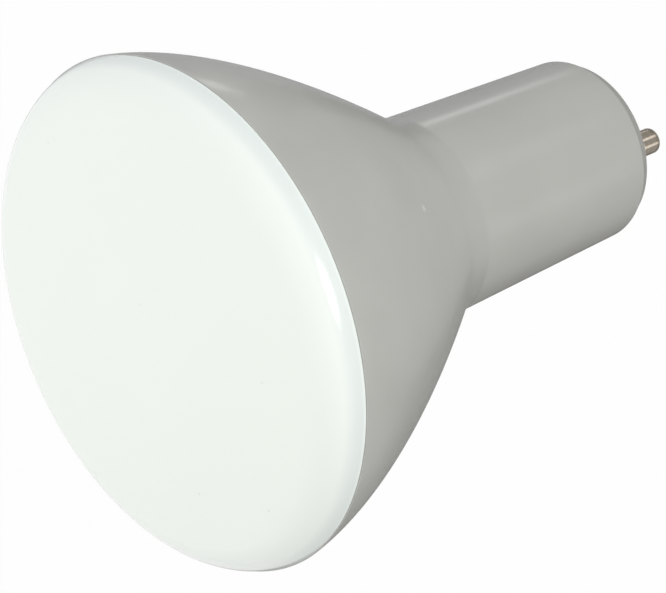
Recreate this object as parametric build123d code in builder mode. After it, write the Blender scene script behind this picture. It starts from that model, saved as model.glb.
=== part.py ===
"""Reflector bulb with a two-pin twist-lock base, built on its own axis.

The origin is the centre of the base cap's rear face, and +Z runs from the base to the dome.
Lengths are in mm and angles in degrees. Heights are measured from the base cap's rear face.
"""
import math
import os

from build123d import *

os.makedirs("parts", exist_ok=True)

# Size class: the mouth of the bell is 30 eighths of an inch across
MOUTH_D = 95.2
SEAM_Z = 103.2

# Bell and neck, one moulding
NECK_REAR_R = 18.11
NECK_DRAFT = 1.65
NECK_EDGE_R = 0.5
BLEND_Z = 43.8
BLEND_R = 15.0
BELL_FOOT_SLOPE = 32.3
BELL_FOOT_PULL = 12.0
BELL_LIP_SLOPE = 9.6
BELL_LIP_PULL = 19.3
LIP_ROUND = 0.3
LIP_SEAT = 3.0
MOUTH_DEPTH = 7.0

# Dome of the diffuser, a shallow crown that turns into a tighter rounded edge
CROWN_RISE = 11.2
EDGE_R = 8.75
EDGE_DROP = 1.9
DOME_WALL = 2.0
SKIRT_DEPTH = 5.0
SKIRT_WALL = 1.6
SKIRT_LEAD = 0.5
FLANGE_ROUND = 0.2

# Base cap, a lid with a spigot that plugs into the neck
CAP_D = 33.7
CAP_FLANGE = 1.75
CAP_EDGE_R = 0.3
CAP_FLOOR = 2.6
SPIGOT_D = 30.4
SPIGOT_END_Z = 7.0
SPIGOT_WALL = 1.6
SPIGOT_LEAD = 0.4
SOCKET_END_Z = 8.0

# Contact pins, turned, with the cap moulded round their collars
PIN_PITCH = 24.0
PIN_HEAD_D = 5.0
PIN_LENGTH = 7.0
PIN_HEAD_LENGTH = 4.95
PIN_END_R = 0.8
PIN_BACK_CHAMFER = 0.3
PIN_WAIST_D = 3.0
PIN_COLLAR_D = 4.6
PIN_COLLAR_Z = 0.8
PIN_COLLAR_LENGTH = 1.0
PIN_TAIL_D = 2.2
PIN_TAIL_END_Z = 5.0
PIN_TAIL_CHAMFER = 0.3

MOUTH_R = MOUTH_D / 2
BORE_R = MOUTH_R - LIP_SEAT
CAP_R = CAP_D / 2
SPIGOT_R = SPIGOT_D / 2
DEEP_Z = SEAM_Z - MOUTH_DEPTH
PIN_SIDES = {"contact_pin_1": PIN_PITCH / 2, "contact_pin_2": -PIN_PITCH / 2}


def heading(angle):
    """The direction in the profile plane that leans outward from the axis by this angle."""
    return Vector(math.sin(math.radians(angle)), math.cos(math.radians(angle)))


def pin_profile():
    """Half of a contact pin's section, from the rounded head to the tail inside the neck."""
    head_r = PIN_HEAD_D / 2
    waist_r = PIN_WAIST_D / 2
    collar_r = PIN_COLLAR_D / 2
    tail_r = PIN_TAIL_D / 2
    back_z = PIN_HEAD_LENGTH - PIN_LENGTH
    collar_end_z = PIN_COLLAR_Z + PIN_COLLAR_LENGTH
    with BuildLine() as line:
        Line((0, -PIN_LENGTH), (head_r - PIN_END_R, -PIN_LENGTH))
        JernArc((head_r - PIN_END_R, -PIN_LENGTH), (1, 0), PIN_END_R, 90)
        Polyline(
            (head_r, PIN_END_R - PIN_LENGTH),
            (head_r, back_z - PIN_BACK_CHAMFER),
            (head_r - PIN_BACK_CHAMFER, back_z),
            (waist_r, back_z),
            (waist_r, PIN_COLLAR_Z),
            (collar_r, PIN_COLLAR_Z),
            (collar_r, collar_end_z),
            (waist_r, collar_end_z),
            (waist_r, CAP_FLOOR),
            (tail_r, CAP_FLOOR),
            (tail_r, PIN_TAIL_END_Z - PIN_TAIL_CHAMFER),
            (tail_r - PIN_TAIL_CHAMFER, PIN_TAIL_END_Z),
            (0, PIN_TAIL_END_Z),
            (0, -PIN_LENGTH),
        )
    return line.line


# Housing: a drafted neck, a concave blend and a bell that eases off towards its lip.
# The sealed inside is left solid between the seat of the diffuser and the socket of the cap.
with BuildPart() as housing:
    with BuildSketch(Plane.XZ):
        with BuildLine():
            rim_r = NECK_REAR_R - NECK_EDGE_R
            Polyline(
                (0, DEEP_Z),
                (0, SOCKET_END_Z),
                (SPIGOT_R, SOCKET_END_Z),
                (SPIGOT_R, CAP_FLANGE),
                (rim_r, CAP_FLANGE),
            )
            edge = JernArc((rim_r, CAP_FLANGE), (1, 0), NECK_EDGE_R, 90 - NECK_DRAFT)
            neck_rise = (BLEND_Z - (edge @ 1).Y) / math.cos(math.radians(NECK_DRAFT))
            neck = Line(edge @ 1, (edge @ 1) + heading(NECK_DRAFT) * neck_rise)
            blend = JernArc(neck @ 1, heading(NECK_DRAFT), BLEND_R, NECK_DRAFT - BELL_FOOT_SLOPE)
            lip = Vector(MOUTH_R, SEAM_Z)
            bell = Bezier(
                blend @ 1,
                (blend @ 1) + heading(BELL_FOOT_SLOPE) * BELL_FOOT_PULL,
                lip - heading(BELL_LIP_SLOPE) * BELL_LIP_PULL,
                lip,
            )
            Polyline(lip, (BORE_R, SEAM_Z), (BORE_R, DEEP_Z), (0, DEEP_Z))
        make_face()
    revolve(axis=Axis.Z)
    lip_edge = housing.edges().filter_by(GeomType.CIRCLE).sort_by(SortBy.RADIUS)[-1]
    fillet(lip_edge, LIP_ROUND)

# Diffuser: one shell, with a flange on the lip and a skirt down the mouth of the bell.
edge_centre = Vector(MOUTH_R - EDGE_R, SEAM_Z - EDGE_DROP)
edge_height = CROWN_RISE + EDGE_DROP
dome_r = (edge_centre.X**2 + edge_height**2 - EDGE_R**2) / (2 * (edge_height - EDGE_R))
dome_centre_z = SEAM_Z + CROWN_RISE - dome_r
dome_sweep = math.degrees(math.atan2(edge_centre.X, edge_centre.Y - dome_centre_z))
flange_turn = math.degrees(math.acos(EDGE_DROP / EDGE_R))
inner_edge_r = EDGE_R - DOME_WALL
skirt_inner_r = BORE_R - SKIRT_WALL
skirt_turn = math.degrees(math.asin((skirt_inner_r - edge_centre.X) / inner_edge_r))

with BuildPart() as diffuser:
    with BuildSketch(Plane.XZ):
        with BuildLine():
            crown = JernArc((0, SEAM_Z + CROWN_RISE), (1, 0), dome_r, -dome_sweep)
            shoulder = JernArc(crown @ 1, crown % 1, EDGE_R, dome_sweep - flange_turn)
            inner_crown = JernArc(
                (0, SEAM_Z + CROWN_RISE - DOME_WALL), (1, 0), dome_r - DOME_WALL, -dome_sweep
            )
            inner_shoulder = JernArc(
                inner_crown @ 1, inner_crown % 1, inner_edge_r, dome_sweep - skirt_turn
            )
            skirt_end_z = SEAM_Z - SKIRT_DEPTH
            Polyline(
                shoulder @ 1,
                (BORE_R, SEAM_Z),
                (BORE_R, skirt_end_z + SKIRT_LEAD),
                (BORE_R - SKIRT_LEAD, skirt_end_z),
                (skirt_inner_r, skirt_end_z),
                inner_shoulder @ 1,
            )
            Line(inner_crown @ 0, crown @ 0)
        make_face()
    revolve(axis=Axis.Z)
    flange_rings = diffuser.edges().filter_by(lambda ring: ring.is_closed)
    fillet(flange_rings.sort_by(SortBy.RADIUS)[-1], FLANGE_ROUND)

# Base cap: a lid whose spigot fits the neck, moulded round the two pins.
with BuildPart() as base_cap:
    with BuildSketch(Plane.XZ):
        with BuildLine():
            Polyline(
                (0, 0),
                (CAP_R, 0),
                (CAP_R, CAP_FLANGE),
                (SPIGOT_R, CAP_FLANGE),
                (SPIGOT_R, SPIGOT_END_Z - SPIGOT_LEAD),
                (SPIGOT_R - SPIGOT_LEAD, SPIGOT_END_Z),
                (SPIGOT_R - SPIGOT_WALL, SPIGOT_END_Z),
                (SPIGOT_R - SPIGOT_WALL, CAP_FLOOR),
                (0, CAP_FLOOR),
                (0, 0),
            )
        make_face()
    revolve(axis=Axis.Z)
    rear_edge = base_cap.edges().filter_by_position(Axis.Z, 0, 0).sort_by(SortBy.RADIUS)[-1]
    fillet(rear_edge, CAP_EDGE_R)
    for pin_x in PIN_SIDES.values():
        with BuildSketch(Plane.XZ.move(Location((pin_x, 0, 0)))):
            add(pin_profile())
            make_face()
        revolve(axis=Axis((pin_x, 0, 0), (0, 0, 1)), mode=Mode.SUBTRACT)

# Contact pins: a round head behind a narrow waist, which turns and locks in a keyhole slot.
for pin_name, pin_x in PIN_SIDES.items():
    with BuildPart() as contact_pin:
        with BuildSketch(Plane.XZ.move(Location((pin_x, 0, 0)))):
            add(pin_profile())
            make_face()
        revolve(axis=Axis((pin_x, 0, 0), (0, 0, 1)))
    contact_pin.part.label = pin_name
    export_step(contact_pin.part, f"parts/{pin_name}.step")

housing.part.label = "housing"
diffuser.part.label = "diffuser"
base_cap.part.label = "base_cap"
export_step(housing.part, "parts/housing.step")
export_step(diffuser.part, "parts/diffuser.step")
export_step(base_cap.part, "parts/base_cap.step")
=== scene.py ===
# %% [markdown]
# # A reflector bulb, drawn as its maker would turn it
# The bulb is five pieces: a milky dome, a grey bell with its neck, a round cap that closes the
# neck, and two contact pins. Every one of them is round about an axis, so each can be written as
# a profile (a radius for each height) that is carried once round that axis.
# The first step loads the CAD model, whose solids are the frame that the pieces have to keep to.

import bpy
import numpy as np
from mathutils import Matrix, Vector


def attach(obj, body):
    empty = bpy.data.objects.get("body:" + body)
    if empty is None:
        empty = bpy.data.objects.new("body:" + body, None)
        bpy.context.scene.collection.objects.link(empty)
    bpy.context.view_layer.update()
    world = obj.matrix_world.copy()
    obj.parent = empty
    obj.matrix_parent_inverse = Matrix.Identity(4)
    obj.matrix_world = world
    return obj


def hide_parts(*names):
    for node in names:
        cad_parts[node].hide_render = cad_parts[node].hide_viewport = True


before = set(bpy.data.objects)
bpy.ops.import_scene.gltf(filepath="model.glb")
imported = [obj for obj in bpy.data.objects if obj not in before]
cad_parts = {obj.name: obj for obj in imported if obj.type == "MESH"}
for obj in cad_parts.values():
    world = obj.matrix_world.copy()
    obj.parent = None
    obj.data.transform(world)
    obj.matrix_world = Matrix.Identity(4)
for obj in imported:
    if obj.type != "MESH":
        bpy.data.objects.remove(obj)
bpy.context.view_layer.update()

# %% [markdown]
# ## The camera
# The photograph shows the bulb from in front and a little to its side, with the dome at lower
# left. The picture's edges are not level with the bulb, so the camera is rolled. A fit of the
# outline, the seam and the neck's rear rim gave the place, the three axes and the focal length
# used here. A long lens from half a metre away keeps the perspective as mild as in the photo.

# %% Place the camera
IMAGE_WIDTH = 666
FOCAL_PIXELS = 2963.7
SENSOR_WIDTH = 36.0
CLIP_NEAR, CLIP_FAR = 0.01, 20.0
CAMERA_PLACE = (0.40598, 0.13521, 0.39375)
CAMERA_RIGHT = (0.65369, -0.19118, -0.73222)
CAMERA_UP = (-0.07882, 0.94510, -0.31713)

right = Vector(CAMERA_RIGHT).normalized()
up = (Vector(CAMERA_UP) - right * right.dot(Vector(CAMERA_UP))).normalized()
turn = Matrix((right, up, right.cross(up))).transposed()

lens = bpy.data.cameras.new("photo_camera")
lens.sensor_fit = "HORIZONTAL"
lens.sensor_width = SENSOR_WIDTH
lens.lens = SENSOR_WIDTH * FOCAL_PIXELS / IMAGE_WIDTH
lens.clip_start, lens.clip_end = CLIP_NEAR, CLIP_FAR
camera = bpy.data.objects.new("photo_camera", lens)
camera.matrix_world = Matrix.Translation(CAMERA_PLACE) @ turn.to_4x4()
bpy.context.scene.collection.objects.link(camera)
bpy.context.scene.camera = camera
print("lens %.1f mm" % lens.lens)

# %% [markdown]
# ## A profile carried round an axis
# A lathe, a moulding tool and this way of drawing make the same kind of surface. The profile runs
# from the axis, out and round the piece, and back to the axis, anticlockwise when the radius
# points right and the height points up. With that sense the faces come out pointing outwards.
# Where the profile touches the axis, a whole ring would shrink to one point, so the pole is one
# vertex with a fan of triangles, and the surface stays closed.

# %% Runs of a profile, in mm
SAME_POINT = 1e-6
# Directions in the plane of radius and height, as an arc's angles in degrees.
DOWN, OUTWARD, UP, INWARD = -90.0, 0.0, 90.0, 180.0


def arc(centre, radius, start, end, count):
    """Points of a circular arc: centre plus radius times (cosine, sine) of evenly spaced angles.

    The angles are in degrees, from the outward direction towards the top.
    """
    angle = np.radians(np.linspace(start, end, count))
    return np.array(centre) + radius * np.stack([np.cos(angle), np.sin(angle)], axis=-1)


def straight(start, end, count):
    """Evenly spaced points of a straight line: (1 - t) times start plus t times end."""
    share = np.linspace(0.0, 1.0, count)[:, None]
    return (1.0 - share) * np.array(start) + share * np.array(end)


def joined(*runs):
    """One profile from several runs, with a point that two runs share kept once."""
    points = np.concatenate([np.atleast_2d(run) for run in runs])
    step = np.linalg.norm(np.diff(points, axis=0), axis=1)
    return points[np.concatenate([[True], step > SAME_POINT])]


print("a quarter circle in three points:", arc((0, 0), 1, OUTWARD, UP, 3).round(3).tolist())

# %% Surfaces from profiles
MM = 0.001
AROUND = 288
SHARP_ANGLE = np.radians(24.0)


def new_object(name, points, faces):
    """A mesh object at the origin, from an array of points in metres and a list of faces."""
    mesh = bpy.data.meshes.new(name)
    mesh.from_pydata(points.tolist(), [], faces)
    made = bpy.data.objects.new(name, mesh)
    bpy.context.scene.collection.objects.link(made)
    return made


def turned(name, profile, axis_x=0.0, around=AROUND):
    """A profile carried round a line parallel to Z at x = axis_x, in mm.

    Vertex (i, j) is (axis_x + r_i cos a_j, r_i sin a_j, z_i), where (r_i, z_i) is point i of the
    profile and a_j is j steps of a full turn. The profile's first and last points are poles.
    """
    r, z = profile[1:-1].T
    angle = np.linspace(0.0, 2.0 * np.pi, around, endpoint=False)
    ring = np.stack(
        [
            axis_x + r[:, None] * np.cos(angle),
            r[:, None] * np.sin(angle),
            np.repeat(z[:, None], around, axis=1),
        ],
        axis=-1,
    ).reshape(-1, 3)
    poles = np.array([[axis_x, 0.0, profile[0, 1]], [axis_x, 0.0, profile[-1, 1]]])
    index = np.arange(len(r) * around).reshape(len(r), around)
    after = np.roll(index, -1, axis=1)
    walls = np.stack([index[:-1], after[:-1], after[1:], index[1:]], axis=-1).reshape(-1, 4)
    first, last = len(ring), len(ring) + 1
    foot = np.stack([np.full(around, first), after[0], index[0]], axis=-1)
    head = np.stack([np.full(around, last), index[-1], after[-1]], axis=-1)
    faces = walls.tolist() + foot.tolist() + head.tolist()
    piece = new_object(name, MM * np.concatenate([ring, poles]), faces)
    mesh = piece.data
    mesh.polygons.foreach_set("use_smooth", np.ones(len(mesh.polygons), dtype=bool))
    mesh.set_sharp_from_angle(angle=SHARP_ANGLE)
    print(name, len(mesh.vertices), "vertices,", len(mesh.polygons), "faces")
    return piece


def stand_in(piece, node):
    """Fixes a piece to the bulb's one body and hides the CAD solid that it stands in for."""
    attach(piece, "root")
    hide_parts(node)


print("one step round an axis is %.2f degrees" % (360.0 / AROUND))

# %% [markdown]
# ## The bell and its neck
# On the real bulb this is one grey moulding. The neck widens a little towards the bell, so that
# it leaves its mould. It ends in a short tight crease, where the neck's highlight stops. A wide
# hollow blend then leads into the bell, which opens fast and eases off towards the lip. A few
# circles and one smooth cubic curve give all of it. Each starts in the direction in which the
# last one ended, so the surface has no kink.

# %% Measures of the bell and neck, in mm
SEAM_Z = 103.2
MOUTH_R = 47.56
BORE_R = 44.6
BORE_FLOOR_Z = 96.2
LIP_ROUND = 0.12
LIP_LEAN = np.radians(9.3)
LIP_PULL = 16.1
FOOT_LEAN = np.radians(34.6)
FOOT_PULL = 14.0
BLEND_R = 27.5
CREASE_R = 4.0
CREASE_LEAN = np.radians(15.8)
NECK_END_Z = 45.3
NECK_REAR_R = 18.11
NECK_LEAN = np.radians(1.65)
NECK_EDGE_R = 0.5
CAP_FLANGE = 2.15
SOCKET_R = 15.2
SOCKET_END_Z = 8.0
print("the bell is %.1f mm long from the neck to the seam" % (SEAM_Z - NECK_END_Z))


# %% Curves of the bell
def leaning(angle):
    """The unit direction (sine, cosine) that leans outward from the axis by this angle."""
    return np.array([np.sin(angle), np.cos(angle)])


def cubic(start, first_pull, second_pull, end, share):
    """Cubic Bezier curve: its four points weighted by (1-t)^3, 3t(1-t)^2, 3t^2(1-t) and t^3."""
    t = share[:, None]
    return (
        (1 - t) ** 3 * start
        + 3 * t * (1 - t) ** 2 * first_pull
        + 3 * t**2 * (1 - t) * second_pull
        + t**3 * end
    )


def hollow(start, radius, first_lean, last_lean, count):
    """An arc that curves outward from a point, its lean growing from the first to the last.

    Its centre lies one radius outward from the point, square to the first lean.
    """
    centre = start + radius * np.array([np.cos(first_lean), -np.sin(first_lean)])
    return arc(centre, radius, *(INWARD - np.degrees((first_lean, last_lean))), count)


rim_centre = np.array([NECK_REAR_R - NECK_EDGE_R, CAP_FLANGE + NECK_EDGE_R])
rim_edge = arc(rim_centre, NECK_EDGE_R, DOWN, -np.degrees(NECK_LEAN), count=12)
neck_run = (NECK_END_Z - rim_edge[-1, 1]) / np.cos(NECK_LEAN)
neck_end = rim_edge[-1] + neck_run * leaning(NECK_LEAN)
crease = hollow(neck_end, CREASE_R, NECK_LEAN, CREASE_LEAN, count=12)
blend = hollow(crease[-1], BLEND_R, CREASE_LEAN, FOOT_LEAN, count=24)
lip_point = np.array([MOUTH_R, SEAM_Z])
lip_cut = LIP_ROUND * (1.0 + np.sin(LIP_LEAN)) / np.cos(LIP_LEAN)
# At its end a cubic moves by three pulls for each unit of t, so it stops where the round starts.
bell = cubic(
    blend[-1],
    blend[-1] + FOOT_PULL * leaning(FOOT_LEAN),
    lip_point - LIP_PULL * leaning(LIP_LEAN),
    lip_point,
    np.linspace(0.0, 1.0 - lip_cut / (3.0 * LIP_PULL), 72),
)
lip_centre = lip_point - lip_cut * leaning(LIP_LEAN)
lip_centre = lip_centre + LIP_ROUND * np.array([-np.cos(LIP_LEAN), np.sin(LIP_LEAN)])
lip_edge = arc(lip_centre, LIP_ROUND, -np.degrees(LIP_LEAN), UP, count=8)
print("the bell starts at radius %.2f mm, height %.2f mm" % tuple(bell[0]))

# %% Turn the bell and neck
housing_profile = joined(
    (0.0, SOCKET_END_Z),
    straight((SOCKET_R, SOCKET_END_Z), (SOCKET_R, CAP_FLANGE), count=3),
    rim_edge,
    straight(rim_edge[-1], neck_end, count=10),
    crease,
    blend,
    bell,
    lip_edge,
    straight((BORE_R, SEAM_Z), (BORE_R, BORE_FLOOR_Z), count=3),
    (0.0, BORE_FLOOR_Z),
)
bell_and_neck = turned("bell_and_neck", housing_profile)
stand_in(bell_and_neck, "housing")
print("widest radius %.3f mm" % housing_profile[:, 0].max())

# %% [markdown]
# ## The dome
# The diffuser is a thin milky shell. Seen from the side it is a very shallow cap of a sphere that
# turns down through a tighter round edge, sits on the bell's lip with a small flange and plugs
# into the mouth with a skirt. The two circles meet with the same tangent, which is what lets the
# highlight on the edge fade into the crown without a visible line.

# %% Measures of the dome, in mm
CROWN_Z = 114.4
EDGE_R = 8.75
EDGE_Z = 101.3
WALL = 2.0
FLANGE_ROUND = 0.06
SKIRT_END_Z = 98.2
SKIRT_INNER_R = 43.0
SKIRT_LEAD = 0.5

edge_centre = np.array([MOUTH_R - EDGE_R, EDGE_Z])
edge_height = CROWN_Z - EDGE_Z
# The edge's circle touches the crown's from within, so the centres lie crown_r - EDGE_R apart.
crown_r = (edge_centre[0] ** 2 + edge_height**2 - EDGE_R**2) / (2.0 * (edge_height - EDGE_R))
crown_centre = np.array([0.0, CROWN_Z - crown_r])
meet = np.degrees(np.arctan2(edge_centre[1] - crown_centre[1], edge_centre[0]))
flange_z = SEAM_Z + FLANGE_ROUND
flange_reach = np.sqrt((EDGE_R - FLANGE_ROUND) ** 2 - (flange_z - EDGE_Z) ** 2)
flange_centre = np.array([edge_centre[0] + flange_reach, flange_z])
flange_turn = np.degrees(np.arctan2(flange_z - EDGE_Z, flange_reach))
skirt_turn = np.degrees(np.arccos((SKIRT_INNER_R - edge_centre[0]) / (EDGE_R - WALL)))
print("crown radius %.1f mm, the circles meet at %.1f degrees" % (crown_r, meet))

# %% Turn the dome
inner_crown = arc(crown_centre, crown_r - WALL, UP, meet, count=24)
outer_crown = arc(crown_centre, crown_r, meet, UP, count=40)
dome_profile = joined(
    inner_crown,
    arc(edge_centre, EDGE_R - WALL, meet, skirt_turn, count=16),
    (SKIRT_INNER_R, SKIRT_END_Z),
    (BORE_R - SKIRT_LEAD, SKIRT_END_Z),
    (BORE_R, SKIRT_END_Z + SKIRT_LEAD),
    (BORE_R, SEAM_Z),
    arc(flange_centre, FLANGE_ROUND, DOWN, flange_turn, count=8),
    arc(edge_centre, EDGE_R, flange_turn, meet, count=40),
    outer_crown,
)
dome_profile[[0, -1], 0] = 0.0
milky_dome = turned("milky_dome", dome_profile)
stand_in(milky_dome, "diffuser")
print("widest radius %.3f mm" % dome_profile[:, 0].max())

# %% [markdown]
# ## The contact pins
# Each pin is turned from bar: a head with a rounded end, a narrow waist behind it that locks in
# the lampholder's slot, a collar that the cap is moulded round, and a thin tail for the lead.
# Two pieces share one profile, each carried round its own axis.

# %% Measures of the pins, in mm
PIN_PLACES = {"contact_pin_1": 12.0, "contact_pin_2": -12.0}
PIN_AROUND = 96
PIN_HEAD_R = 2.5
PIN_END_Z = -7.0
PIN_END_ROUND = 0.8
PIN_BACK_Z = -2.05
PIN_BACK_CHAMFER = 0.3
PIN_WAIST_R = 1.5
PIN_COLLAR_R = 2.3
PIN_COLLAR_Z = (0.8, 1.8)
PIN_TAIL_R = 1.1
PIN_TAIL_Z = (2.6, 5.0)
PIN_TAIL_CHAMFER = 0.3
print("the head is %.2f mm long" % (PIN_BACK_Z - PIN_END_Z))

# %% Turn the pins
end_centre = (PIN_HEAD_R - PIN_END_ROUND, PIN_END_Z + PIN_END_ROUND)
side_start = (PIN_HEAD_R, PIN_END_Z + PIN_END_ROUND)
side_end = (PIN_HEAD_R, PIN_BACK_Z - PIN_BACK_CHAMFER)
pin_profile = joined(
    (0.0, PIN_END_Z),
    arc(end_centre, PIN_END_ROUND, DOWN, OUTWARD, count=14),
    straight(side_start, side_end, count=8),
    (PIN_HEAD_R - PIN_BACK_CHAMFER, PIN_BACK_Z),
    (PIN_WAIST_R, PIN_BACK_Z),
    (PIN_WAIST_R, PIN_COLLAR_Z[0]),
    (PIN_COLLAR_R, PIN_COLLAR_Z[0]),
    (PIN_COLLAR_R, PIN_COLLAR_Z[1]),
    (PIN_WAIST_R, PIN_COLLAR_Z[1]),
    (PIN_WAIST_R, PIN_TAIL_Z[0]),
    (PIN_TAIL_R, PIN_TAIL_Z[0]),
    (PIN_TAIL_R, PIN_TAIL_Z[1] - PIN_TAIL_CHAMFER),
    (PIN_TAIL_R - PIN_TAIL_CHAMFER, PIN_TAIL_Z[1]),
    (0.0, PIN_TAIL_Z[1]),
)
pins = []
for node_name, pin_x in PIN_PLACES.items():
    pin = turned("turned_" + node_name, pin_profile, pin_x, PIN_AROUND)
    stand_in(pin, node_name)
    pins.append(pin)

# %% [markdown]
# ## The cap
# A moulded lid closes the neck. Its spigot plugs into the neck, and its flange stands behind the
# neck's rim, where the camera sees the flange's side as a narrow darker band. The real lid is
# moulded round the pins. Here the pins simply run through it, as no gap shows between them.

# %% Turn the cap
CAP_R = 16.85
CAP_EDGE_R = 0.3
CAP_FLOOR_Z = 2.6
SPIGOT_END_Z = 7.0
SPIGOT_INNER_R = 13.6
SPIGOT_LEAD = 0.4

cap_profile = joined(
    (0.0, 0.0),
    arc((CAP_R - CAP_EDGE_R, CAP_EDGE_R), CAP_EDGE_R, DOWN, OUTWARD, count=10),
    straight((CAP_R, CAP_FLANGE), (SOCKET_R, CAP_FLANGE), count=3),
    (SOCKET_R, SPIGOT_END_Z - SPIGOT_LEAD),
    (SOCKET_R - SPIGOT_LEAD, SPIGOT_END_Z),
    (SPIGOT_INNER_R, SPIGOT_END_Z),
    (SPIGOT_INNER_R, CAP_FLOOR_Z),
    (0.0, CAP_FLOOR_Z),
)
base_cap = turned("moulded_cap", cap_profile)
stand_in(base_cap, "base_cap")

# %% [markdown]
# ## Building materials from nodes
# A colour on a screen is written in sRGB, while light is added up in linear values, so one
# function turns a hex colour into linear numbers. Every material is a small net of nodes, and one
# function adds a node, sets its options, fills its sockets and joins it to earlier nodes. A
# pattern's Scale is worked out from the size that the pattern has on the real surface.

# %% Helpers for materials
WHITE = "#ffffff"


def linear(code, alpha=1.0):
    """An sRGB hex colour as linear red, green, blue and alpha.

    Each channel c is c / 12.92 up to 0.04045 and ((c + 0.055) / 1.055) to the power 2.4 above.
    """
    channel = np.array([int(code[i : i + 2], 16) for i in (1, 3, 5)]) / 255.0
    low, high = channel / 12.92, ((channel + 0.055) / 1.055) ** 2.4
    return (*np.where(channel <= 0.04045, low, high).tolist(), alpha)


def scale_for(size):
    """A pattern's Scale from its real size in mm: how many times it fits into one metre."""
    return 1.0 / (size * MM)


def add(tree, kind, options=None, values=None, links=None):
    """Adds one node: options are its own settings, values fill sockets and links join outputs."""
    made = tree.nodes.new(kind)
    for key, value in (options or {}).items():
        setattr(made, key, value)
    for socket, value in (values or {}).items():
        made.inputs[socket].default_value = value
    for socket, source in (links or {}).items():
        tree.links.new(source, made.inputs[socket])
    return made


def set_ramp(ramp, stops, interpolation="LINEAR"):
    """Fills a colour ramp from a table of position and hex colour."""
    ramp.color_ramp.interpolation = interpolation
    band = ramp.color_ramp.elements
    while len(band) < len(stops):
        band.new(1.0)
    for element, (position, code) in zip(band, stops.items()):
        element.position = position
        element.color = linear(code)


def new_material(name):
    """An empty material with its output node; returns the material, its tree and the output."""
    material = bpy.data.materials.new(name)
    material.use_nodes = True
    material.node_tree.nodes.clear()
    return material, material.node_tree, add(material.node_tree, "ShaderNodeOutputMaterial")


print("sRGB grey #808080 is %.3f in linear light" % linear("#808080")[0])

# %% [markdown]
# ## Glossy moulded housing
# The bell is a light grey plastic, moulded in a polished tool, so it mirrors the room softly.
# Real gloss plastic is never perfectly even: the surface has a faint orange peel about a
# millimetre across, handling leaves slightly duller clouds, and the pigment drifts a little. The
# photographed bulb also has one small pale scuff half way up the bell.

# %% Measures of the grey plastic, sizes in mm
HOUSING_TONES = {0.35: "#aeaeaa", 0.65: "#b2b2ae"}
HOUSING_IOR = 1.5
HOUSING_SPECULAR = 0.28
HOUSING_ROUGHNESS = (0.15, 0.21)
PIGMENT_DRIFT = 22.0
HOUSING_CLOUD = 9.0
PEEL_SIZE = 1.4
PEEL_DEPTH = 0.05
PEEL_STRENGTH = 0.05
SCUFF_TONE = "#dcdcd8"
SCUFF_Z = 70.5
SCUFF_TURN = np.radians(20.1)
SCUFF_REACH, SCUFF_CORE = 0.9, 0.1

scuff_r = np.interp(SCUFF_Z, bell[:, 1], bell[:, 0])
scuff_x, scuff_y = scuff_r * np.cos(SCUFF_TURN), scuff_r * np.sin(SCUFF_TURN)
scuff_place = (scuff_x * MM, scuff_y * MM, SCUFF_Z * MM)
print("the scuff lies %.1f mm from the axis" % scuff_r)

# %% Pigment, clouds and orange peel
housing_plastic, tree, output = new_material("gloss_moulded_grey_pbt")
place = add(tree, "ShaderNodeTexCoord").outputs["Object"]
pigment = add(
    tree,
    "ShaderNodeTexNoise",
    values={"Scale": scale_for(PIGMENT_DRIFT), "Detail": 2.0},
    links={"Vector": place},
)
tone = add(tree, "ShaderNodeValToRGB", links={"Fac": pigment.outputs["Fac"]})
set_ramp(tone, HOUSING_TONES)
clouds = add(
    tree,
    "ShaderNodeTexNoise",
    values={"Scale": scale_for(HOUSING_CLOUD), "Detail": 3.0},
    links={"Vector": place},
)
dullness = add(
    tree,
    "ShaderNodeMapRange",
    values={"To Min": HOUSING_ROUGHNESS[0], "To Max": HOUSING_ROUGHNESS[1]},
    links={"Value": clouds.outputs["Fac"]},
)
peel = add(
    tree,
    "ShaderNodeTexNoise",
    values={"Scale": scale_for(PEEL_SIZE), "Detail": 1.0},
    links={"Vector": place},
)
peel_bump = add(
    tree,
    "ShaderNodeBump",
    values={"Strength": PEEL_STRENGTH, "Distance": PEEL_DEPTH * MM},
    links={"Height": peel.outputs["Fac"]},
)
print("patterns:", PIGMENT_DRIFT, HOUSING_CLOUD, "and", PEEL_SIZE, "mm across")

# %% The scuff and the gloss
from_scuff = add(
    tree, "ShaderNodeVectorMath", {"operation": "DISTANCE"}, {1: scuff_place}, {0: place}
)
near_scuff = add(
    tree,
    "ShaderNodeMapRange",
    values={"From Min": SCUFF_REACH * MM, "From Max": SCUFF_CORE * MM},
    links={"Value": from_scuff.outputs["Value"]},
)
scuff_share = add(
    tree,
    "ShaderNodeMath",
    {"operation": "MULTIPLY"},
    links={0: near_scuff.outputs["Result"], 1: peel.outputs["Fac"]},
)
scuffed = add(
    tree,
    "ShaderNodeMix",
    {"data_type": "RGBA"},
    {"B": linear(SCUFF_TONE)},
    {"Factor": scuff_share.outputs["Value"], "A": tone.outputs["Color"]},
)
gloss = add(
    tree,
    "ShaderNodeBsdfPrincipled",
    values={"IOR": HOUSING_IOR, "Specular IOR Level": HOUSING_SPECULAR},
    links={
        "Base Color": scuffed.outputs["Result"],
        "Roughness": dullness.outputs["Result"],
        "Normal": peel_bump.outputs["Normal"],
    },
)
tree.links.new(gloss.outputs["BSDF"], output.inputs["Surface"])
bell_and_neck.data.materials.append(housing_plastic)
print(housing_plastic.name, len(tree.nodes), "nodes")
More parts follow.
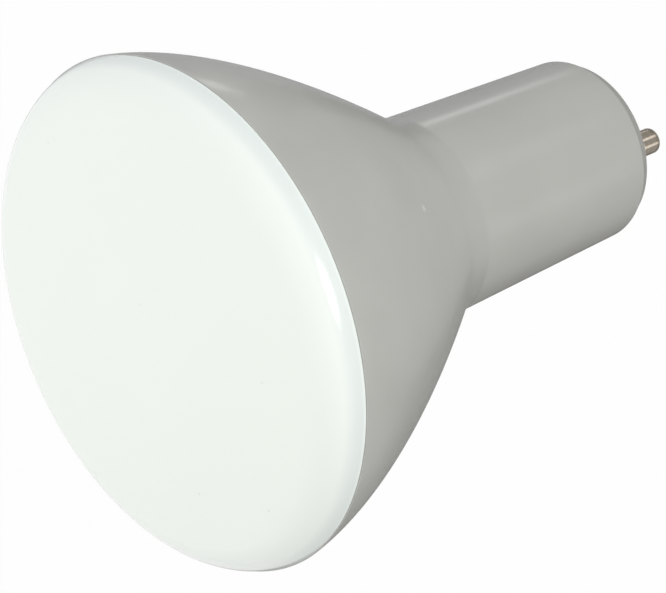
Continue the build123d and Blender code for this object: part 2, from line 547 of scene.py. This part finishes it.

# %% [markdown]
# ## Milky polycarbonate
# The dome is polycarbonate filled with a white diffusing powder. Light that enters is scattered
# back from a millimetre or two below the surface, which makes it look soft and almost evenly
# bright, with a hint of green. Towards the edge the tone turns darker and cooler, partly from the
# grey lip behind the plastic and partly as painted shade on the rounded edge, and a thin lighter
# ring just inside the seam is a painted highlight. All of that is drawn as a tone that follows the
# distance from the axis. A few dust specks lie on it.

# %% Tone of the dome, sizes in mm
# The darker stop at 0.965 is partly the grey lip and partly painted shade; the lighter stop at
# 0.985 is a painted highlight.
DOME_TONES = {0.0: "#eff4ed", 0.80: "#edf2ed", 0.965: "#dde4e1", 0.985: "#e8eeea"}
RIM_START_R, RIM_END_R = 38.0, 47.5
ACROSS = (1.0, 1.0, 0.0)

milky_plastic, tree, output = new_material("milky_moulded_polycarbonate")
place = add(tree, "ShaderNodeTexCoord").outputs["Object"]
flat = add(tree, "ShaderNodeVectorMath", {"operation": "MULTIPLY"}, {1: ACROSS}, {0: place})
reach = add(
    tree, "ShaderNodeVectorMath", {"operation": "LENGTH"}, links={0: flat.outputs["Vector"]}
)
rim_tone_and_shade_share = add(
    tree,
    "ShaderNodeMapRange",
    values={"From Min": RIM_START_R * MM, "From Max": RIM_END_R * MM},
    links={"Value": reach.outputs["Value"]},
)
tone = add(tree, "ShaderNodeValToRGB", links={"Fac": rim_tone_and_shade_share.outputs["Result"]})
set_ramp(tone, DOME_TONES, "EASE")
print("the rim's tones start %.1f mm from the axis" % RIM_START_R)

# %% Dust and gloss of the dome, sizes in mm
DUST_TONE = "#8c8d88"
DUST_SPACING = 11.0
# A speck's edge and core are shares of the spacing.
DUST_EDGE, DUST_CORE = 0.03, 0.012
DUST_COVER = 0.16
DOME_CLOUD = 12.0
DOME_ROUGHNESS = (0.12, 0.16)
DOME_IOR = 1.58

specks = add(
    tree,
    "ShaderNodeTexVoronoi",
    {"feature": "F1"},
    {"Scale": scale_for(DUST_SPACING), "Randomness": 1.0},
    {"Vector": place},
)
speck_share = add(
    tree,
    "ShaderNodeMapRange",
    values={"From Min": DUST_EDGE, "From Max": DUST_CORE, "To Min": 0.0, "To Max": DUST_COVER},
    links={"Value": specks.outputs["Distance"]},
)
dusty = add(
    tree,
    "ShaderNodeMix",
    {"data_type": "RGBA"},
    {"B": linear(DUST_TONE)},
    {"Factor": speck_share.outputs["Result"], "A": tone.outputs["Color"]},
)
clouds = add(
    tree,
    "ShaderNodeTexNoise",
    values={"Scale": scale_for(DOME_CLOUD), "Detail": 3.0},
    links={"Vector": place},
)
dullness = add(
    tree,
    "ShaderNodeMapRange",
    values={"To Min": DOME_ROUGHNESS[0], "To Max": DOME_ROUGHNESS[1]},
    links={"Value": clouds.outputs["Fac"]},
)
milk = add(
    tree,
    "ShaderNodeBsdfPrincipled",
    values={"IOR": DOME_IOR},
    links={"Base Color": dusty.outputs["Result"], "Roughness": dullness.outputs["Result"]},
)
tree.links.new(milk.outputs["BSDF"], output.inputs["Surface"])
milky_dome.data.materials.append(milky_plastic)
print(milky_plastic.name, len(tree.nodes), "nodes")

# %% [markdown]
# ## Spark-textured cap
# The cap is the same family of grey plastic, moulded in a tool with a fine spark-eroded finish,
# so it is matte. Its tone is drawn a little darker than the glossy bell.

# %% Matte cap plastic, sizes in mm
CAP_TONES = {0.3: "#92928e", 0.7: "#9b9b97"}
CAP_IOR = 1.5
CAP_ROUGHNESS = 0.55
GRIT_SIZE = 0.35
GRIT_DEPTH = 0.04
GRIT_STRENGTH = 0.25

cap_plastic, tree, output = new_material("spark_textured_grey_pbt")
place = add(tree, "ShaderNodeTexCoord").outputs["Object"]
grit = add(
    tree,
    "ShaderNodeTexNoise",
    values={"Scale": scale_for(GRIT_SIZE), "Detail": 2.0},
    links={"Vector": place},
)
tone = add(tree, "ShaderNodeValToRGB", links={"Fac": grit.outputs["Fac"]})
set_ramp(tone, CAP_TONES)
grit_bump = add(
    tree,
    "ShaderNodeBump",
    values={"Strength": GRIT_STRENGTH, "Distance": GRIT_DEPTH * MM},
    links={"Height": grit.outputs["Fac"]},
)
matte = add(
    tree,
    "ShaderNodeBsdfPrincipled",
    values={"IOR": CAP_IOR, "Roughness": CAP_ROUGHNESS},
    links={"Base Color": tone.outputs["Color"], "Normal": grit_bump.outputs["Normal"]},
)
tree.links.new(matte.outputs["BSDF"], output.inputs["Surface"])
base_cap.data.materials.append(cap_plastic)
print(cap_plastic.name, len(tree.nodes), "nodes")

# %% [markdown]
# ## Nickel on turned brass
# The pins are brass, turned on a lathe and plated with a thin coat of nickel. The plating is a
# warm silver, and the tool has left fine rings round the pin. The rings are a tenth of a
# millimetre apart on the real pin. That is too fine to show in the picture, so they are drawn
# well over a millimetre apart and faint.

# %% Nickel plating, sizes in mm
NICKEL_TONES = {0.0: "#e2d5c4", 1.0: "#e9ddcd"}
NICKEL_ROUGHNESS = 0.14
RING_SPACING = 1.3823
RING_WANDER = 0.6
RING_DEPTH = 0.01
RING_STRENGTH = 0.02
# Blender's wave texture turns by 20 radians for each unit of its scaled coordinate.
WAVE_TURN = 20.0

nickel, tree, output = new_material("nickel_plated_turned_brass")
place = add(tree, "ShaderNodeTexCoord").outputs["Object"]
ring_scale = 2.0 * np.pi / WAVE_TURN * scale_for(RING_SPACING)
rings = add(
    tree,
    "ShaderNodeTexWave",
    {"bands_direction": "Z", "wave_profile": "SIN"},
    {"Scale": ring_scale, "Distortion": RING_WANDER, "Detail": 1.0},
    {"Vector": place},
)
tone = add(tree, "ShaderNodeValToRGB", links={"Fac": rings.outputs["Fac"]})
set_ramp(tone, NICKEL_TONES)
ring_bump = add(
    tree,
    "ShaderNodeBump",
    values={"Strength": RING_STRENGTH, "Distance": RING_DEPTH * MM},
    links={"Height": rings.outputs["Fac"]},
)
plating = add(
    tree,
    "ShaderNodeBsdfPrincipled",
    values={"Metallic": 1.0, "Roughness": NICKEL_ROUGHNESS},
    links={"Base Color": tone.outputs["Color"], "Normal": ring_bump.outputs["Normal"]},
)
tree.links.new(plating.outputs["BSDF"], output.inputs["Surface"])
for pin in pins:
    pin.data.materials.append(nickel)
print(nickel.name, len(tree.nodes), "nodes, ring scale %.2f" % ring_scale)

# %% [markdown]
# ## Floor and room
# The photograph has a plain white ground. The bulb is shown as it hangs, above a pale floor. The
# floor and the room are white to the camera and in reflections, while the light that they give
# to the bulb stays at a plain level. Light Path tells the two kinds of ray apart.


# %% Which rays show the ground
def shown(tree):
    """An output that is 1 for rays from the camera, mirrored rays and rays through glass, else 0.

    It is the largest of Light Path's three answers.
    """
    path = add(tree, "ShaderNodeLightPath").outputs
    largest = path["Is Camera Ray"]
    for kind_of_ray in ("Is Glossy Ray", "Is Transmission Ray"):
        pair = {0: largest, 1: path[kind_of_ray]}
        largest = add(tree, "ShaderNodeMath", {"operation": "MAXIMUM"}, links=pair).outputs["Value"]
    return largest


# %% Pale floor
FLOOR_Z = -0.45
FLOOR_HALF = 6.0
FLOOR_TONE = "#f2f2f0"
SHADOW_KEPT = 0.03

corners = FLOOR_HALF * np.array([[-1.0, -1.0], [1.0, -1.0], [1.0, 1.0], [-1.0, 1.0]])
corners = np.column_stack([corners, np.full(len(corners), FLOOR_Z)])
floor = new_object("floor", corners, [(0, 1, 2, 3)])

floor_paint, tree, output = new_material("pale_floor_paint")
whiteness = add(
    tree, "ShaderNodeMath", {"operation": "MULTIPLY"}, {1: 1.0 - SHADOW_KEPT}, {0: shown(tree)}
)
paint = add(tree, "ShaderNodeBsdfDiffuse", values={"Color": linear(FLOOR_TONE)})
glow = add(tree, "ShaderNodeEmission", values={"Strength": 1.0})
ground = add(
    tree,
    "ShaderNodeMixShader",
    links={0: whiteness.outputs["Value"], 1: paint.outputs["BSDF"], 2: glow.outputs["Emission"]},
)
tree.links.new(ground.outputs["Shader"], output.inputs["Surface"])
floor.data.materials.append(floor_paint)
print("floor at %.0f mm," % (FLOOR_Z / MM), len(tree.nodes), "nodes")

# %% White room
ROOM_LIGHT = 0.42

room = bpy.data.worlds.new("white_room")
room.use_nodes = True
bpy.context.scene.world = room
tree = room.node_tree
tree.nodes.clear()
strength = add(
    tree,
    "ShaderNodeMapRange",
    values={"To Min": ROOM_LIGHT, "To Max": 1.0},
    links={"Value": shown(tree)},
)
sky = add(
    tree,
    "ShaderNodeBackground",
    values={"Color": linear(WHITE)},
    links={"Strength": strength.outputs["Result"]},
)
add(tree, "ShaderNodeOutputWorld", links={"Surface": sky.outputs["Background"]})
print(room.name, len(tree.nodes), "nodes")

# %% [markdown]
# ## Grey cards round the bulb
# Gloss plastic and plated metal look like plastic and metal only when they have something darker
# than the room to mirror. A photographer stands cards round the object for that. Here they make a
# low ring on the floor, out of the picture. The ring has three gaps. What shows through the
# narrow one draws the thin bright line along the neck, and the white room in the two wider ones
# draws the two bright lines along the pin. Some of the cards have a faint painted glow of their
# own, so the pin looks bright between its lines.

# %% Papers of the cards: tone, and a faint painted glow
CARD_PAPERS = {
    "pale_card": ("#b9b9b7", 0.12),
    "grey_card": ("#a4a4a2", 0.0),
    "glowing_card": ("#b4b4b6", 0.08),
}

papers = {}
for paper_name, (paper_tone, painted_glow) in CARD_PAPERS.items():
    papers[paper_name], tree, output = new_material(paper_name)
    paper = add(
        tree,
        "ShaderNodeBsdfPrincipled",
        values={
            "Base Color": linear(paper_tone),
            "Roughness": 1.0,
            "Specular IOR Level": 0.0,
            # The emission is a faint painted glow of the paper, which no lamp gives.
            "Emission Color": linear(WHITE),
            "Emission Strength": painted_glow,
        },
    )
    tree.links.new(paper.outputs["BSDF"], output.inputs["Surface"])
print("papers:", ", ".join(papers))

# %% Stand the cards, in metres and degrees round Z
CARD_RADIUS = 0.30
CARD_STEPS = 48
FOOT_Z, LEDGE_Z = -0.44, -0.30
LOW_TOP_Z, HIGH_TOP_Z = -0.15, -0.02
CARD_WALLS = {
    "front_card": ("pale_card", -16.0, 30.0, LEDGE_Z, LOW_TOP_Z),
    "right_card": ("pale_card", 51.0, 118.7, LEDGE_Z, LOW_TOP_Z),
    "far_card": ("glowing_card", 126.7, 190.0, LEDGE_Z, HIGH_TOP_Z),
    "dim_card": ("grey_card", 190.0, 262.0, LEDGE_Z, HIGH_TOP_Z),
    "left_card": ("pale_card", 262.0, 323.0, LEDGE_Z, LOW_TOP_Z),
    "low_card": ("grey_card", 0.0, 360.0, FOOT_Z, LEDGE_Z),
}


def stand_card(card_name, paper_name, points, faces):
    """A card of the stage from arrays of points and faces, out of the camera's sight."""
    card = new_object(card_name, points, faces.tolist())
    card.visible_camera = False
    card.data.materials.append(papers[paper_name])
    print(card_name, len(faces), "faces")


for card_name, (paper_name, card_start, card_end, low_z, high_z) in CARD_WALLS.items():
    foot = arc((0.0, 0.0), CARD_RADIUS, card_start, card_end, CARD_STEPS)
    points = np.concatenate(
        [np.column_stack([foot, np.full(CARD_STEPS, height)]) for height in (low_z, high_z)]
    )
    step = np.arange(CARD_STEPS - 1)
    faces = np.stack([step, step + CARD_STEPS, step + CARD_STEPS + 1, step + 1], axis=-1)
    stand_card(card_name, paper_name, points, faces)
disc = arc((0.0, 0.0), CARD_RADIUS, 0.0, 360.0 - 360.0 / CARD_STEPS, CARD_STEPS)
disc = np.column_stack([disc, np.full(CARD_STEPS, FOOT_Z)])
stand_card("floor_card", "pale_card", disc, np.arange(CARD_STEPS)[None, :])

# %% [markdown]
# ## Soft lamps
# Large soft panels stand round the bulb, as softboxes do in a studio. A lamp's strength is given
# as the brightness of its face, where 1 is white, because that is what a glossy surface mirrors;
# Blender wants watts, and a flat lamp that shines evenly needs pi times brightness times area.
# The large panels only light the bulb and are kept out of its reflections. Two small lamps are
# mirrored: an oval one in front draws the long highlight on the edge of the dome, and a slit
# behind the narrow gap of the cards draws the line along the neck.

# %% A soft lamp
OVAL_SHARE = np.pi / 4.0


def direction(turn_angle, height_angle):
    """The unit vector at this angle round Z from +X and this angle above the level, in degrees."""
    around, above = np.radians((turn_angle, height_angle))
    return Vector((np.cos(around) * np.cos(above), np.sin(around) * np.cos(above), np.sin(above)))


def soft_lamp(lamp_name, spot, away, size, brightness, tint=WHITE, mirrored=False, oval=False):
    """A flat lamp whose back points away from what it lights; watts are pi x brightness x area.

    An oval fills pi / 4 of the rectangle that its size gives.
    """
    light = bpy.data.lights.new(lamp_name, "AREA")
    light.shape = "ELLIPSE" if oval else "RECTANGLE"
    light.size, light.size_y = size
    light.energy = np.pi * brightness * size[0] * size[1] * (OVAL_SHARE if oval else 1.0)
    light.color = linear(tint)[:3]
    lamp = bpy.data.objects.new(lamp_name, light)
    facing = away.to_track_quat("Z", "Y").to_matrix().to_4x4()
    lamp.matrix_world = Matrix.Translation(spot) @ facing
    lamp.visible_camera = False
    lamp.visible_glossy = mirrored
    bpy.context.scene.collection.objects.link(lamp)
    print(lamp_name, "%.3f W" % light.energy)


# %% Panels: turn and height in degrees, brightness and tint
AIM = Vector((0.0, 0.0, 0.06))
PANEL_SIZE = (1.0, 1.0)
PANEL_DISTANCE = 1.2
PANELS = {
    "front_low": (19.3, -8.0, 2.86, WHITE),
    "left": (-40.7, 20.0, 0.36, "#fffdf2"),
    "right": (119.3, 5.0, 1.05, "#f2f4ff"),
    "top": (19.3, 86.0, 1.2, WHITE),
    "back": (184.3, 46.0, 1.8, WHITE),
}

for lamp_name, (turn_angle, height_angle, brightness, tint) in PANELS.items():
    way = direction(turn_angle, height_angle)
    soft_lamp(lamp_name, AIM + PANEL_DISTANCE * way, way, PANEL_SIZE, brightness, tint)

# %% Mirrored lamps
STRIP_TURN, STRIP_HEIGHT, STRIP_DISTANCE = 5.8, 22.0, 1.0
STRIP_SIZE = (0.46, 0.28)
STRIP_BRIGHTNESS = 3.8
SLIT_TURN, SLIT_RADIUS, SLIT_Z = 122.7, 0.36, -0.285
SLIT_SIZE = (0.06, 0.07)
SLIT_BRIGHTNESS = 1.5

way = direction(STRIP_TURN, STRIP_HEIGHT)
strip_spot = AIM + STRIP_DISTANCE * way
soft_lamp("strip", strip_spot, way, STRIP_SIZE, STRIP_BRIGHTNESS, mirrored=True, oval=True)
way = direction(SLIT_TURN, 0.0)
slit_spot = SLIT_RADIUS * way + Vector((0.0, 0.0, SLIT_Z))
soft_lamp("slit", slit_spot, way, SLIT_SIZE, SLIT_BRIGHTNESS, mirrored=True)

# %% [markdown]
# ## Finishing
# The view transform is Standard, so a colour renders as it is written.

# %% Finish
bpy.context.scene.view_settings.view_transform = "Standard"
